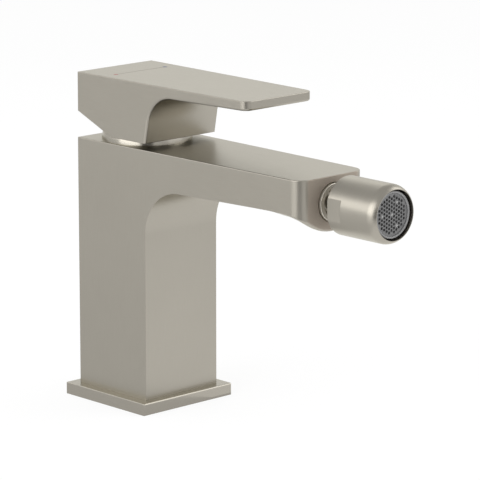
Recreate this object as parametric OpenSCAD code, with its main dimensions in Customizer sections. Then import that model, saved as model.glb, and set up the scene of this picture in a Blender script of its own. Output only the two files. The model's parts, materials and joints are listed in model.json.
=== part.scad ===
// Single-lever bidet mixer with a swivelling aerator nozzle.
// The spout points along +X, +Z is up and the origin is the middle of the foot, on the deck.

/* [Column and base] */
// Width of the column at its back
column_w = 45; // [40:0.5:52]
// Depth of the column from back to front
column_d = 45; // [40:0.5:52]
// Height of the column's flat top above the deck
body_h = 120.5; // [105:0.5:160]
// Narrowing of each side from back to front, in degrees
side_taper = 1.08; // [0.5:0.01:1.2]
// Width of the square base plate
base_w = 54; // [48:0.5:66]
// Thickness of the base plate
base_t = 5.5; // [4.5:0.1:8]
// Radius of the recess that takes the hose ends
recess_r = 16; // [14:0.1:17.5]
// Wall of the spigot around the recess, which passes through the base plate
spigot_wall = 2.6; // [2:0.1:3.2]
// Depth of the recess from the deck
recess_depth = 48; // [38:0.5:56]

/* [Spout] */
// Distance from the column's axis to the front of the nose
spout_reach = 119.4; // [100:0.1:160]
// Thickness of the spout where it leaves the column
spout_t = 17.25; // [15.5:0.05:20]
// Rise of the spout's underside, in degrees
underside_rise = 1.4; // [0:0.1:2]
// Radius between the column's front and the underside
root_fillet_r = 22; // [12:0.5:30]
// Radius of the nose's two upright corners
nose_corner_r = 6.2; // [2:0.1:8]
// Distance of the swelling's start behind the nose
belly_len = 28; // [24:0.5:34]
// Distance of the swelling's full depth behind the nose
belly_full = 12.3; // [8:0.1:16]
// Wall under the socket's rear end
socket_wall = 0.4; // [0.3:0.05:2]
// Depth of the swelling at the front of the nose
nose_depth = 11; // [9.5:0.1:13]
// Drop of the side edges at the front of the nose
nose_side_drop = 1.2; // [0:0.1:3]
// Radius along the nose's lower front edge
nose_edge_r = 2.9; // [1:0.1:4]
// Width of the water channel in the spout
waterway_w = 24; // [12:0.5:28]
// Height of the water channel in the spout
waterway_h = 6.5; // [4:0.1:7]
// Wall under the water channel at the column
waterway_floor = 4.2; // [3:0.1:5]

/* [Deck fixings] */
// Thread radius of the hose inlets
inlet_r = 5; // [4:0.1:5.5]
// Depth of the inlets' threads
inlet_depth = 12; // [8:0.5:14]
// Distance of each inlet from the middle plane
inlet_y = 8.4; // [7.5:0.1:9]
// Distance of the inlets behind the column's axis
inlet_back = 5; // [3:0.1:6]
// Radius of the water passages above the inlets
passage_r = 3.2; // [2.5:0.1:3.6]
// Thread radius of the fixing stud's hole
stud_r = 4; // [3:0.1:4.5]
// Depth of the stud's thread
stud_depth = 14; // [8:0.5:18]
// Distance of the stud in front of the column's axis
stud_front = 9.6; // [8:0.1:10.5]

/* [Cartridge] */
// Radius of the cartridge
cartridge_r = 17.5; // [16:0.1:18.5]
// Depth of the cartridge's floor below the column's top
floor_depth = 27.5; // [26.5:0.5:32]
// Length of the lock nut's thread
nut_thread_len = 6; // [5:0.1:7]
// Step from the cartridge out to the lock nut's thread
nut_step = 1.5; // [1:0.1:2]
// Height of the lock nut's collar above the column's top
nut_collar_h = 4; // [3:0.1:5]
// Thickness of the cartridge's bottom
cartridge_base_t = 5; // [4:0.1:6]
// Thickness of the fixed ceramic disc
fixed_disc_t = 3; // [2:0.1:4]
// Thickness of the moving ceramic disc
moving_disc_t = 3.4; // [2:0.1:4]
// Radius of the moving ceramic disc and its carrier
moving_disc_r = 10.5; // [9:0.1:11]
// Depth of the lever's pivot below the column's top
pivot_drop = 1.5; // [1:0.1:2.5]
// Distance from the pivot to the ball at the lever's lower end
stem_lower = 10; // [9:0.1:11]
// Radius of the lever's lower ball
stem_ball_r = 3; // [2.5:0.1:3.4]
// Side of the square lever stem
stem_w = 8; // [7:0.1:9]
// Radius of the lever's pivot pin
pin_r = 2; // [1.5:0.1:2.4]
// Radius of the turning sleeve
sleeve_r = 12.1; // [11:0.1:13]
// Largest lift of the lever, in degrees
lift_max = 22; // [15:1:24]

/* [Trim cover] */
// Wall of the domed cover
cover_wall = 1.1; // [0.8:0.1:1.3]
// Radius of the hole in the cover's top
cover_hole_r = 13.6; // [12:0.1:15]

/* [Handle] */
// Height of the handle's flat top above the column's top
handle_top = 30; // [27:0.5:40]
// Gap between the column's top and the handle's block
handle_gap = 2.75; // [2.5:0.05:4]
// Distance of the handle's sides inside the column's sides, at the back
handle_side_inset = 0.2; // [0:0.05:1]
// Distance of the handle's back inside the column's back
handle_back_inset = 0.35; // [0:0.05:1]
// Wall of the handle's sides beside its hollow
handle_wall = 1.15; // [0.8:0.05:3]
// Wall of the handle's block in front of its hollow
block_wall = 1.25; // [0.8:0.05:4]
// Distance of the lever's tip from the column's axis
handle_reach = 86.6; // [75:0.1:110]
// Narrowing of each side of the handle, in degrees
handle_taper = 1.04; // [0.5:0.01:1.1]
// Thickness of the lever at its tip
lever_tip_t = 4.3; // [3:0.1:6]
// Thickness of the lever at its root
lever_root_t = 5.5; // [4:0.1:8]
// Slope of the block's front face, in degrees from upright
block_draft = 7; // [0:0.5:10]
// Radius between the block's front and the lever
lever_fillet_r = 15; // [8:0.5:16]
// Slope of the handle's back underside, in degrees
back_slope = 22.8; // [20:0.1:26]
// Radius of the lever's two front corners
lever_corner_r = 4; // [2:0.1:8]
// Wall over the stem's socket
socket_roof = 2.95; // [2:0.05:5]
// Radius of the set screw
screw_r = 2.5; // [2:0.1:2.8]
// Radius of the plug over the set screw
plug_r = 3.2; // [3.1:0.1:3.6]
// Length of the plug over the set screw
plug_len = 3; // [2:0.1:4]
// Radius of the coloured index dots
index_r = 1.1; // [0.8:0.1:1.6]
// Distance of the index dots from the middle plane
index_y = 14.8; // [10:0.1:16]
// Distance of the index marks behind the column's axis
index_back = 4.2; // [2:0.1:6]
// Width of the engraved line between the dots
index_line_w = 0.3; // [0.2:0.05:0.6]
// Depth of the engraved line
index_line_depth = 0.15; // [0.1:0.05:0.3]
// Depth of the index dots
index_depth = 0.4; // [0.2:0.1:0.6]

/* [Swivel joint] */
// Depth of the nozzle's axis below the column's top
nozzle_drop = 11.6; // [10.5:0.1:13]
// Radius of the swivel ball
ball_r = 7.4; // [6:0.05:7.8]
// Distance of the ball's centre behind the nose's front
ball_depth = 7.6; // [7:0.1:9]
// Step from the ball out to the socket in the nose
socket_step = 1; // [0.8:0.05:1.6]
// Depth of the socket behind the ball's centre
socket_back = 3; // [2:0.1:4]
// Thickness of the seal ring behind the ball's seat
seat_ring_t = 1.6; // [1:0.1:2]
// Radius of the neck between ball and nozzle
neck_r = 3.8; // [3.2:0.1:4]
// Radius of the water bore through the ball
ball_bore_r = 2.4; // [1.8:0.1:2.6]
// Height of the retaining nut's collar in front of the nose
retainer_rise = 1; // [0.3:0.1:1.5]
// Overlap of the retaining nut's throat in front of the ball
throat_lip = 1.3; // [0.5:0.05:1.6]

/* [Nozzle] */
// Radius of the nozzle
nozzle_r = 13; // [12:0.1:15]
// Gap between the nose and the nozzle
nozzle_gap = 8.3; // [7:0.1:12]
// Length of the nozzle
nozzle_len = 28.6; // [25:0.1:40]
// Depth of each wrench flat
flat_depth = 1; // [0.5:0.1:1.5]
// Length of the wrench flats
flats_len = 8.4; // [5:0.1:9]
// Thickness of the nozzle's rear wall
nozzle_back_t = 6.4; // [5:0.1:7]
// Radius of the nozzle's front opening
opening_r = 11; // [10:0.1:12]
// Radius of the nozzle's front rounding
lip_r = 6.3; // [5:0.1:7]
// Depth of the aerator's face behind the opening
aerator_recess = 2; // [1:0.1:3]
// Length of the aerator cup
aerator_len = 11; // [9:0.1:12]
// Thickness of the honeycomb face
grid_t = 2; // [1:0.1:3]
// Distance between the honeycomb's holes
grid_pitch = 1.7; // [1.5:0.05:2.4]
// Wall between two honeycomb holes
grid_wall = 0.4; // [0.3:0.05:0.8]

/* [Hidden] */
$fn = 64;
nickel = [0.62, 0.59, 0.54];
brass = [0.72, 0.58, 0.32];
grey_plastic = [0.62, 0.62, 0.6];
black_rubber = [0.08, 0.08, 0.08];
// Extra length that carries a cut clear of a face
cut = 1;
// Running clearance between pieces that turn
run = 0.1;
// Clearance between seated pieces
seat = 0.15;
// Clearance between bodies that sweep past each other
sweep = 0.5;
// Angle steps of an arc
arc_steps = 16;
// Angle steps of a small corner
corner_steps = 10;
// The two sides of the middle plane
sides = [-1, 1];

column_back = -column_d / 2;
column_front = column_d / 2;
pivot_z = body_h - pivot_drop;
spigot_r = recess_r + spigot_wall;
handle_half_w = column_w / 2 - handle_side_inset;
handle_back = column_d / 2 - handle_back_inset;
hollow_r = handle_half_w - handle_wall;
cover_r = hollow_r - sweep;
block_front = hollow_r + block_wall;
nozzle_z = body_h - nozzle_drop;
nozzle_x0 = spout_reach + nozzle_gap;
nozzle_x1 = nozzle_x0 + nozzle_len;
ball_x = spout_reach - ball_depth;
cup_r = ball_r + seat;
socket_r = ball_r + socket_step;
socket_x0 = ball_x - socket_back;
seat_x = ball_x - ball_r;
seat_bore_x0 = seat_x - seat_ring_t;
// Rim left in front of the ball's seat
seat_rim = 0.2;
seat_bore_r = sqrt(cup_r * cup_r - socket_back * socket_back) + seat_rim;

// Points of an arc from angle a0 to a1, in degrees
function arc(cx, cy, r, a0, a1, steps = arc_steps) =
  [for (i = [0:steps]) let (a = a0 + (a1 - a0) * i / steps) [cx + r * cos(a), cy + r * sin(a)]];
// Half width of the body at a distance along the spout
function body_half(x) = column_w / 2 - tan(side_taper) * (x - column_back);
// Half width of the handle at a distance along the lever
function lever_half(x) = handle_half_w - tan(handle_taper) * (x + handle_back);
// Height of the spout's straight underside
function underside(x) = body_h - spout_t + tan(underside_rise) * (x - column_front);
// Smooth step from 0 to 1
function ease(t) = let (u = min(1, max(0, t))) u * u * (3 - 2 * u);

module ring(r_out, r_in, h) {
  difference() {
    cylinder(r = r_out, h = h);
    translate([0, 0, -cut]) cylinder(r = r_in, h = h + 2 * cut);
  }
}

module round_ring(r_mid, r_wire) {
  rotate_extrude() translate([r_mid, 0]) circle(r = r_wire);
}

// Turns a piece built along +Z onto the nozzle's axis, starting at distance x
module on_nozzle(x) {
  translate([x, 0, nozzle_z]) rotate([0, 90, 0]) children();
}

// Outline in XZ, drawn through the body's whole width
module side_extrude(width) {
  translate([0, width / 2, 0]) rotate([90, 0, 0]) linear_extrude(width) children();
}

// Body casting
module body_side_outline() {
  cx = column_front + root_fillet_r;
  cz = underside(cx) - root_fillet_r / cos(underside_rise);
  polygon(concat(
    [[column_back, base_t], [column_front, base_t]],
    arc(cx, cz, root_fillet_r, 180, 90 + underside_rise),
    [[spout_reach, underside(spout_reach)], [spout_reach, body_h], [column_back, body_h]]));
}

module body_plan_outline() {
  front = spout_reach - nose_corner_r;
  y = body_half(spout_reach) - nose_corner_r;
  polygon(concat(
    [[column_back, column_w / 2], [column_back, -column_w / 2]],
    arc(front, -y, nose_corner_r, -90 + side_taper, 0, corner_steps),
    arc(front, y, nose_corner_r, 0, 90 - side_taper, corner_steps)));
}

// Steepness of the swelling towards the front
belly_curve = 1.6;
full_x = spout_reach - belly_full;
belly_depth = underside(full_x) - (nozzle_z - socket_r - socket_wall);
// Drop of the nose's underside below the straight underside
function belly_centre(x) =
  belly_depth * ease((x - spout_reach + belly_len) / (belly_len - belly_full))
  + (nose_depth - belly_depth) * pow(max(0, (x - full_x) / belly_full), belly_curve);
function belly_side(x) = nose_side_drop * pow(max(0, 1 - (spout_reach - x) / (belly_len - nose_corner_r)), 2);
function nose_round(x) =
  let (d = max(0, x - spout_reach + nose_edge_r))
  nose_edge_r - sqrt(max(0, nose_edge_r * nose_edge_r - d * d));
function belly_z(x, y) =
  let (share = 1 - pow(y / body_half(x), 2))
  underside(x) - belly_side(x) - (belly_centre(x) - belly_side(x)) * share + nose_round(x);

// Swelling under the nose that holds the socket, as a grid of points below a flat top
module belly() {
  nx = 20;
  ny = 16;
  bias = 1.6;
  x0 = spout_reach - belly_len + cut;
  top = nozzle_z;
  wide = body_half(x0) + cut;
  xs = [for (i = [0:nx]) let (t = i / nx) x0 + (spout_reach - x0) * (1 - pow(1 - t, bias))];
  ys = [for (j = [0:ny]) wide * (2 * j / ny - 1)];
  low = [for (x = xs) for (y = ys) [x, y, belly_z(x, y)]];
  high = [for (x = xs) for (y = ys) [x, y, top]];
  n = len(low);
  row = ny + 1;
  quads = concat(
    [for (i = [0:nx - 1]) for (j = [0:ny - 1]) let (a = i * row + j) [a, a + 1, a + row + 1, a + row]],
    [for (i = [0:nx - 1]) for (j = [0:ny - 1]) let (a = n + i * row + j) [a, a + row, a + row + 1, a + 1]],
    [for (i = [0:nx - 1]) let (a = i * row) [a, a + row, n + a + row, n + a]],
    [for (i = [0:nx - 1]) let (a = i * row + ny) [a + row, a, n + a, n + a + row]],
    [for (j = [0:ny - 1]) let (a = j) [a + 1, a, n + a, n + a + 1]],
    [for (j = [0:ny - 1]) let (a = nx * row + j) [a, a + 1, n + a + 1, n + a]]);
  polyhedron(concat(low, high), [for (q = quads) each [[q[0], q[2], q[1]], [q[0], q[3], q[2]]]]);
}

chamber_r = cartridge_r + seat;
floor_z = body_h - floor_depth;
nut_r = cartridge_r + nut_step;
nut_z = body_h - nut_thread_len;
waterway_z = underside(column_front) + waterway_floor;
gallery_r = 4.6;
mouth_chamfer = 0.5;
oring_wire = 0.8;
foot_oring_z = base_t / 2;
foot_oring_mid = spigot_r - oring_wire + seat;

module body_cavities() {
  translate([0, 0, -cut]) cylinder(r = recess_r, h = recess_depth + cut);
  for (s = sides) translate([-inlet_back, s * inlet_y, recess_depth - cut]) {
    cylinder(r = inlet_r, h = inlet_depth + cut);
    cylinder(r = passage_r, h = floor_z - recess_depth + 2 * cut);
  }
  translate([stud_front, 0, recess_depth - cut]) cylinder(r = stud_r, h = stud_depth + cut);
  translate([0, 0, floor_z]) cylinder(r = chamber_r, h = floor_depth + cut);
  translate([0, 0, nut_z]) cylinder(r = nut_r, h = nut_thread_len + cut);
  translate([cartridge_r, 0, floor_z]) cylinder(r = gallery_r, h = waterway_z + waterway_h - floor_z);
  translate([cartridge_r, -waterway_w / 2, waterway_z])
    cube([seat_bore_x0 + cut - cartridge_r, waterway_w, waterway_h]);
  on_nozzle(seat_bore_x0) cylinder(r = seat_bore_r, h = socket_x0 - seat_bore_x0 + cut);
  on_nozzle(socket_x0) cylinder(r = socket_r, h = spout_reach - socket_x0 + cut);
  on_nozzle(spout_reach - mouth_chamfer)
    cylinder(r1 = socket_r, r2 = socket_r + 2 * mouth_chamfer, h = 2 * mouth_chamfer);
  translate([0, 0, foot_oring_z]) round_ring(foot_oring_mid, oring_wire);
}

module body() {
  color(nickel) difference() {
    union() {
      intersection() {
        union() {
          side_extrude(2 * column_w) body_side_outline();
          belly();
        }
        linear_extrude(body_h) body_plan_outline();
      }
      cylinder(r = spigot_r, h = base_t);
    }
    body_cavities();
  }
}

// Foot
gasket_w = 3.8;
gasket_t = 2;
gasket_mid = (spigot_r + seat + base_w / 2) / 2;
gasket_in = gasket_mid - gasket_w / 2;
gasket_out = gasket_mid + gasket_w / 2;

module base_plate() {
  color(nickel) difference() {
    translate([-base_w / 2, -base_w / 2, 0]) cube([base_w, base_w, base_t]);
    translate([0, 0, -cut]) cylinder(r = spigot_r + seat, h = base_t + 2 * cut);
    translate([0, 0, -cut]) ring(gasket_out, gasket_in, gasket_t + cut);
  }
}

module foot_gasket() {
  color(black_rubber) ring(gasket_out, gasket_in, gasket_t);
}

module foot_oring() {
  color(black_rubber) translate([0, 0, foot_oring_z]) round_ring(foot_oring_mid, oring_wire);
}

// Cartridge
outlet_x = 9.2;
port_x = [-inlet_back, -inlet_back, outlet_x];
port_y = [-inlet_y, inlet_y, 0];
seal_wall = 1.3;
seal_t = 1.6;
seal_r = passage_r + seal_wall;
base_top = floor_z + cartridge_base_t;
fixed_top = base_top + fixed_disc_t;
film = 0.05;
moving_z = fixed_top + film;
carrier_z = moving_z + moving_disc_t;
ball_z = pivot_z - stem_lower;
stem_clear = 0.2;
carrier_floor = ball_z - stem_ball_r - stem_clear;
mixing_r = 5.25;
mixing_depth = 1.7;
shell_wall = 2;
shell_in = cartridge_r - shell_wall;
flange_t = 1.4;
flange_z = nut_z - shell_wall - film - flange_t;
flange_clear = 0.4;
flange_r = shell_in - flange_clear;
carrier_top = flange_z - sweep;
collar_in = sleeve_r + run;
collar_out = collar_in + shell_wall;
collar_rise = 1.5;
collar_top = body_h + collar_rise;
sleeve_rise = 4.5;
sleeve_top = pivot_z + sleeve_rise;
slot_side_gap = 0.3;
slot_end_gap = 1;
slot_half_y = stem_w / 2 + slot_side_gap;
slot_half_x = stem_w / 2 / cos(lift_max) + (pivot_z - flange_z) * tan(lift_max) + slot_end_gap;
groove_depth = 2 * oring_wire - seat;
cartridge_oring_z = nut_z - 4 * oring_wire;

module at_ports(z) {
  for (i = [0:2]) translate([port_x[i], port_y[i], z]) children();
}

module cartridge_base() {
  color(grey_plastic) difference() {
    translate([0, 0, floor_z]) cylinder(r = cartridge_r, h = cartridge_base_t);
    at_ports(floor_z - cut) cylinder(r = passage_r, h = cartridge_base_t + 2 * cut);
    at_ports(floor_z - cut) cylinder(r = seal_r, h = seal_t + cut);
    translate([port_x[2], -passage_r, floor_z - cut]) cube([cartridge_r, 2 * passage_r, seal_t + cut]);
  }
}

module port_seals() {
  color(black_rubber) at_ports(floor_z) ring(seal_r, passage_r, seal_t);
}

module cartridge_housing() {
  color("ivory") difference() {
    union() {
      translate([0, 0, base_top]) cylinder(r = cartridge_r, h = nut_z - base_top);
      translate([0, 0, nut_z - cut]) cylinder(r = collar_out, h = collar_top - nut_z + cut);
    }
    translate([0, 0, base_top - cut]) cylinder(r = shell_in, h = nut_z - shell_wall - base_top + cut);
    translate([0, 0, base_top]) cylinder(r = collar_in, h = collar_top - base_top + cut);
    translate([0, 0, cartridge_oring_z]) ring(cartridge_r + cut, cartridge_r - groove_depth, 2 * oring_wire);
  }
}

module cartridge_oring() {
  color(black_rubber) translate([0, 0, cartridge_oring_z + oring_wire])
    round_ring(chamber_r - oring_wire, oring_wire - film);
}

module fixed_disc() {
  color("white") difference() {
    translate([0, 0, base_top]) cylinder(r = shell_in - seat, h = fixed_disc_t);
    at_ports(base_top - cut) cylinder(r = passage_r, h = fixed_disc_t + 2 * cut);
  }
}

module moving_disc() {
  color("white") difference() {
    translate([0, 0, moving_z]) cylinder(r = moving_disc_r, h = moving_disc_t);
    translate([0, 0, moving_z - cut]) cylinder(r = mixing_r, h = mixing_depth + cut);
  }
}

module disc_carrier() {
  color(grey_plastic) difference() {
    translate([0, 0, carrier_z]) cylinder(r = moving_disc_r, h = carrier_top - carrier_z);
    translate([0, 0, carrier_floor])
      cylinder(r = stem_ball_r + stem_clear, h = carrier_top - carrier_floor + cut);
  }
}

module turning_sleeve() {
  color("ivory") difference() {
    union() {
      translate([0, 0, flange_z]) cylinder(r = flange_r, h = flange_t);
      translate([0, 0, flange_z]) cylinder(r = sleeve_r, h = sleeve_top - flange_z);
    }
    translate([-slot_half_x, -slot_half_y, flange_z - cut])
      cube([2 * slot_half_x, 2 * slot_half_y, sleeve_top - flange_z + 2 * cut]);
    translate([0, sleeve_r + cut, pivot_z]) rotate([90, 0, 0]) cylinder(r = pin_r, h = 2 * (sleeve_r + cut));
  }
}

module lever_pin() {
  inset = 0.6;
  pin_half = sleeve_r - inset;
  color("silver") translate([0, pin_half, pivot_z]) rotate([90, 0, 0]) cylinder(r = pin_r, h = 2 * pin_half);
}

top_z = body_h + handle_top;
stem_foot_gap = 0.5;
stem_foot_z = ball_z + stem_ball_r + stem_foot_gap;
stem_neck_r = 2.1;
socket_top = top_z - socket_roof;
stem_top = socket_top - seat;

module lever_stem() {
  color("silver") difference() {
    union() {
      translate([-stem_w / 2, -stem_w / 2, stem_foot_z]) cube([stem_w, stem_w, stem_top - stem_foot_z]);
      translate([0, 0, ball_z]) cylinder(r = stem_neck_r, h = stem_foot_z - ball_z + cut);
      translate([0, 0, ball_z]) sphere(r = stem_ball_r);
    }
    translate([0, stem_w, pivot_z]) rotate([90, 0, 0]) cylinder(r = pin_r + film, h = 2 * stem_w);
  }
}

// Lock nut and trim cover
collar_gap = 0.5;
nut_bore_gap = 0.3;
key_w = 3;
key_depth = 2;
key_len = 6;
cover_in = cover_r - cover_wall;
collar_r = sqrt(cover_in * cover_in - pow(pivot_drop + nut_collar_h, 2)) - collar_gap;
nut_bore_r = collar_out + nut_bore_gap;
cover_oring_z = body_h + nut_collar_h / 2;
cover_in_there = sqrt(cover_in * cover_in - pow(cover_oring_z - pivot_z, 2));
cover_oring_mid = cover_in_there - oring_wire;

module lock_nut() {
  color(brass) difference() {
    union() {
      translate([0, 0, nut_z]) cylinder(r = nut_r, h = nut_thread_len);
      translate([0, 0, body_h - cut]) cylinder(r = collar_r, h = nut_collar_h + cut);
    }
    translate([0, 0, nut_z - cut]) cylinder(r = nut_bore_r, h = nut_thread_len + nut_collar_h + 2 * cut);
    translate([0, 0, cover_oring_z]) round_ring(cover_oring_mid, oring_wire);
    for (a = [0:90:270]) rotate(a) translate([collar_out, -key_w / 2, body_h + nut_collar_h - key_depth])
      cube([key_len, key_w, key_depth + cut]);
  }
}

module trim_cover() {
  color(nickel) difference() {
    translate([0, 0, pivot_z]) sphere(r = cover_r);
    translate([0, 0, pivot_z]) sphere(r = cover_in);
    translate([0, 0, pivot_z - 2 * cover_r]) cylinder(r = 2 * cover_r, h = 2 * cover_r + pivot_drop);
    translate([0, 0, pivot_z]) cylinder(r = cover_hole_r, h = 2 * cover_r);
  }
}

module cover_oring() {
  color(black_rubber) translate([0, 0, cover_oring_z]) round_ring(cover_oring_mid, oring_wire - film);
}

// Handle
block_z = body_h + handle_gap;
slope_z = block_z + handle_back * tan(back_slope);
lever_tip_z = top_z - lever_tip_t;
lever_slope = atan((lever_root_t - lever_tip_t) / (handle_reach - block_front));
screw_z = (pivot_z + hollow_r + socket_top) / 2;
screw_len = 9;
hex_r = 1.25;
hex_depth = 4.5;
engrave_x = -index_back;

module handle_side_outline() {
  turn = 90 - block_draft + lever_slope;
  tip = [handle_reach, lever_tip_z];
  corner = [block_front + tan(block_draft) * (lever_tip_z - block_z), lever_tip_z];
  reach = handle_reach - corner[0];
  bend_z = lever_tip_z - tan(lever_slope) * reach;
  bend = [block_front + tan(block_draft) * (bend_z - block_z), bend_z];
  run_back = lever_fillet_r * tan(turn / 2);
  start = [bend[0] + run_back * cos(lever_slope), bend[1] + run_back * sin(lever_slope)];
  centre = [start[0] + lever_fillet_r * sin(lever_slope), start[1] - lever_fillet_r * cos(lever_slope)];
  polygon(concat(
    [[-handle_back, top_z], [-handle_back, slope_z], [0, block_z], [block_front, block_z]],
    arc(centre[0], centre[1], lever_fillet_r, 180 - block_draft, 90 + lever_slope),
    [tip, [handle_reach, top_z]]));
}

module handle_plan_outline() {
  front = handle_reach - lever_corner_r;
  y = lever_half(handle_reach) - lever_corner_r;
  polygon(concat(
    [[-handle_back, handle_half_w], [-handle_back, -handle_half_w]],
    arc(front, -y, lever_corner_r, -90 + handle_taper, 0, corner_steps),
    arc(front, y, lever_corner_r, 0, 90 - handle_taper, corner_steps)));
}

module along_back(z, r, x0, x1) {
  translate([x0, 0, z]) rotate([0, 90, 0]) cylinder(r = r, h = x1 - x0);
}

module handle() {
  socket_w = stem_w + 2 * film;
  color(nickel) difference() {
    intersection() {
      side_extrude(3 * handle_half_w) handle_side_outline();
      linear_extrude(top_z + cut) handle_plan_outline();
    }
    translate([0, 0, pivot_z]) sphere(r = hollow_r);
    translate([-socket_w / 2, -socket_w / 2, pivot_z]) cube([socket_w, socket_w, socket_top - pivot_z]);
    along_back(screw_z, screw_r, -handle_back, 0);
    along_back(screw_z, plug_r, -handle_back - cut, plug_len - handle_back);
    for (s = sides) translate([engrave_x, s * index_y, top_z - index_depth])
      cylinder(r = index_r, h = index_depth + cut);
    translate([engrave_x - index_line_w / 2, -index_y, top_z - index_line_depth])
      cube([index_line_w, 2 * index_y, index_line_depth + cut]);
  }
}

module set_screw() {
  tip = -stem_w / 2;
  color("dimgray") difference() {
    along_back(screw_z, screw_r - film, tip - screw_len, tip);
    along_back(screw_z, hex_r, tip - screw_len - cut, tip - screw_len + hex_depth, $fn = 6);
  }
}

module screw_plug() {
  color(nickel) along_back(screw_z, plug_r - film, -handle_back, plug_len - handle_back);
}

module index_dot(side) {
  translate([engrave_x, side * index_y, top_z - index_depth]) cylinder(r = index_r - film, h = index_depth);
}

module hot_index() {
  color("firebrick") index_dot(-1);
}

module cold_index() {
  color("royalblue") index_dot(1);
}

// Swivel joint in the nose
slip_gap = 0.2;
slip_front = 2.2;
slip_x0 = socket_x0 + slip_gap;
slip_x1 = ball_x + slip_front;
retainer_x0 = slip_x1 + slip_gap;
throat_flare = 0.5;
throat_r = ball_r - throat_lip;
retainer_x1 = spout_reach + retainer_rise;
collar_edge = 0.2;
throat_x = sqrt(cup_r * cup_r - throat_r * throat_r);

module ball_space() {
  on_nozzle(ball_x) sphere(r = cup_r);
}

module seat_oring() {
  wire = seat_ring_t / 2;
  color(black_rubber) on_nozzle(seat_bore_x0 + wire) round_ring(seat_bore_r - wire, wire);
}

module ball_seat() {
  color("ivory") difference() {
    on_nozzle(seat_x) cylinder(r = seat_bore_r - film, h = socket_x0 - seat_x);
    on_nozzle(seat_x - cut) cylinder(r = neck_r, h = socket_x0 - seat_x + 2 * cut);
    ball_space();
  }
}

module slip_ring() {
  color("ivory") difference() {
    on_nozzle(slip_x0) cylinder(r = socket_r - run, h = slip_x1 - slip_x0);
    on_nozzle(slip_x0 - cut) cylinder(r = neck_r, h = slip_x1 - slip_x0 + 2 * cut);
    ball_space();
  }
}

module retaining_nut() {
  flare_x = ball_x + throat_x;
  flare_r = throat_r + throat_flare;
  collar_x = retainer_x1 - collar_edge;
  out_r = socket_r - film;
  color(nickel) difference() {
    union() {
      on_nozzle(retainer_x0) cylinder(r = out_r, h = collar_x - retainer_x0);
      on_nozzle(collar_x) cylinder(r1 = out_r, r2 = out_r - collar_edge, h = collar_edge);
    }
    ball_space();
    on_nozzle(ball_x) cylinder(r = throat_r, h = ball_depth);
    on_nozzle(flare_x)
      cylinder(r1 = throat_r, r2 = flare_r, h = retainer_x1 + cut - flare_x);
  }
}

thread_r = 4.6;
thread_end = 1.4;
thread_len = nozzle_back_t + thread_end;

module ball_stem() {
  color(nickel) difference() {
    union() {
      on_nozzle(ball_x) sphere(r = ball_r);
      on_nozzle(ball_x) cylinder(r = neck_r, h = nozzle_x0 - ball_x);
      on_nozzle(nozzle_x0) cylinder(r = thread_r, h = thread_len);
    }
    on_nozzle(ball_x - 2 * ball_r) cylinder(r = ball_bore_r, h = nozzle_x1 - ball_x);
  }
}

// Nozzle
aerator_x1 = nozzle_x1 - aerator_recess;
aerator_x0 = aerator_x1 - aerator_len;
gasket_len = 1.5;
cup_clear = 0.7;
cup_out = opening_r - cup_clear;
cup_wall = 0.8;
cup_in = cup_out - cup_wall;
cup_step = 0.3;
bore_step = 1;
inner_r = cup_in - bore_step;
grid_r = cup_in - film;
bore_floor_x = aerator_x0 - gasket_len;
rear_chamfer = 0.5;

module nozzle_outline() {
  edge_w = 0.2;
  edge = opening_r + edge_w;
  lip_mid = nozzle_r - lip_r;
  lip_end = acos((edge - lip_mid) / lip_r);
  lip_z = nozzle_len - lip_r * sin(lip_end);
  polygon(concat(
    [[thread_r, 0], [nozzle_r - rear_chamfer, 0], [nozzle_r, rear_chamfer]],
    arc(lip_mid, lip_z, lip_r, 0, lip_end, corner_steps),
    [[opening_r, nozzle_len], [opening_r, bore_floor_x - nozzle_x0], [inner_r, bore_floor_x - nozzle_x0],
     [inner_r, nozzle_back_t], [thread_r, nozzle_back_t]]));
}

module nozzle_housing() {
  color(nickel) difference() {
    on_nozzle(nozzle_x0) rotate_extrude() nozzle_outline();
    for (s = sides) translate([nozzle_x0 - cut, s * (1.5 * nozzle_r - flat_depth) - nozzle_r / 2, 0])
      cube([flats_len + cut, nozzle_r, 2 * nozzle_z]);
  }
}

module aerator_gasket() {
  color(black_rubber) on_nozzle(bore_floor_x) ring(opening_r - seat, inner_r, gasket_len);
}

module aerator_cup() {
  color(grey_plastic) on_nozzle(aerator_x0) difference() {
    ring(cup_out, cup_in, aerator_len);
    translate([0, 0, aerator_len - cup_wall]) ring(cup_out + cut, cup_out - cup_step, cup_wall + cut);
  }
}

// Whether a point keeps its distance from every point of a list
function is_clear(p, list, gap) = len([for (q = list) if (norm(p - q) < gap) q]) == 0;

// Flat disc with holes in a honeycomb, kept off the rim and off the closed places
module honeycomb_disc(r, rim, t, pitch, wall, closed = []) {
  rings = floor((r - rim) / pitch) + 1;
  step = pitch * sqrt(3) / 2;
  spots = [for (i = [-rings:rings]) for (j = [-rings:rings])
    let (shift = i % 2 == 0 ? 0 : pitch / 2) [j * pitch + shift, i * step]];
  linear_extrude(t) difference() {
    circle(r = r);
    for (p = spots)
      if (norm(p) < r - rim - pitch / 2 && is_clear(p, closed, pitch / 2))
        translate(p) circle(d = pitch - wall, $fn = 6);
  }
}

module strainer() {
  rim = 1.5;
  t = 1;
  pitch = 3.4;
  wall = 1;
  color("silver") on_nozzle(aerator_x0) honeycomb_disc(grid_r, rim, t, pitch, wall);
}

module jet_plate() {
  rim = 1;
  t = 1.4;
  pitch = 3.4;
  hole = 1.2;
  color(grey_plastic) on_nozzle(aerator_x0 + aerator_len / 2)
    honeycomb_disc(grid_r, rim, t, pitch, pitch - hole);
}

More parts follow.
